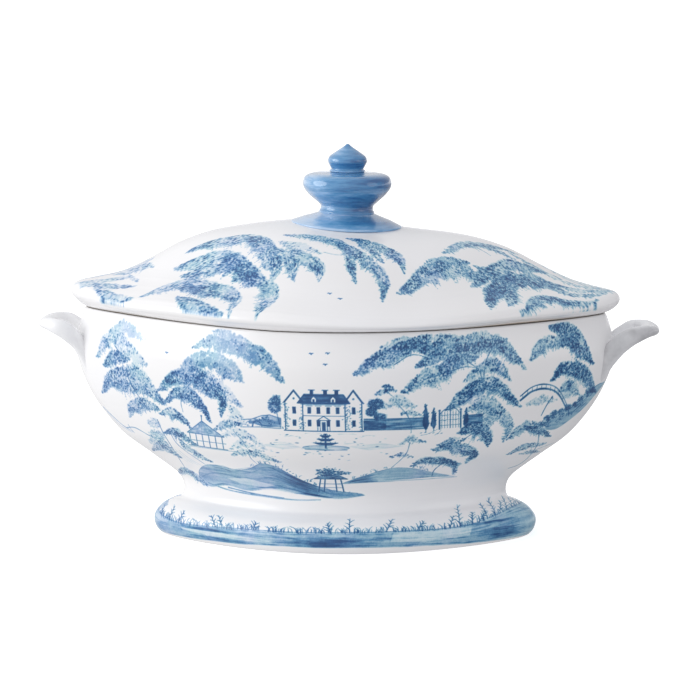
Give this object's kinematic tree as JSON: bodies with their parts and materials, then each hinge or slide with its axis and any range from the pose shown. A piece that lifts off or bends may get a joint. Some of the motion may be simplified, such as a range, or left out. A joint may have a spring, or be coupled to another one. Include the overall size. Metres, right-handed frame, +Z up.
{
  "type": "soup tureen",
  "caption": "Oval pedestal soup tureen with loop handles and a domed lift-off lid with a turned finial, white glaze with blue painted landscape.",
  "frame": {"origin": "on the table, under the middle of the foot ring, which is the bottom centre of the bounding box", "axes": "+X along the tureen from the left handle to the right handle, +Y towards the back, +Z up"},
  "size_m": [0.424, 0.2696, 0.266],
  "materials": {
    "painted_glaze": "glossy, hand-painted in cobalt blue under a clear glaze",
    "white_glaze": "glossy white glaze",
    "cobalt_glaze": "glossy, brushed cobalt blue"
  },
  "bodies": {
    "tureen": {"tureen_bowl": "painted_glaze", "pedestal_foot": "painted_glaze", "handle_left": "white_glaze", "handle_right": "white_glaze"},
    "lid": {"lid_shell": "painted_glaze", "lid_flange": "white_glaze", "finial_collar": "cobalt_glaze", "finial_knob": "cobalt_glaze", "finial_bud": "cobalt_glaze"}
  },
  "joints": [
    {"name": "lid_lift", "type": "slide", "parent": "tureen", "child": "lid", "axis": [0, 0, 1], "range_m": [0, 0.15]}
  ]
}
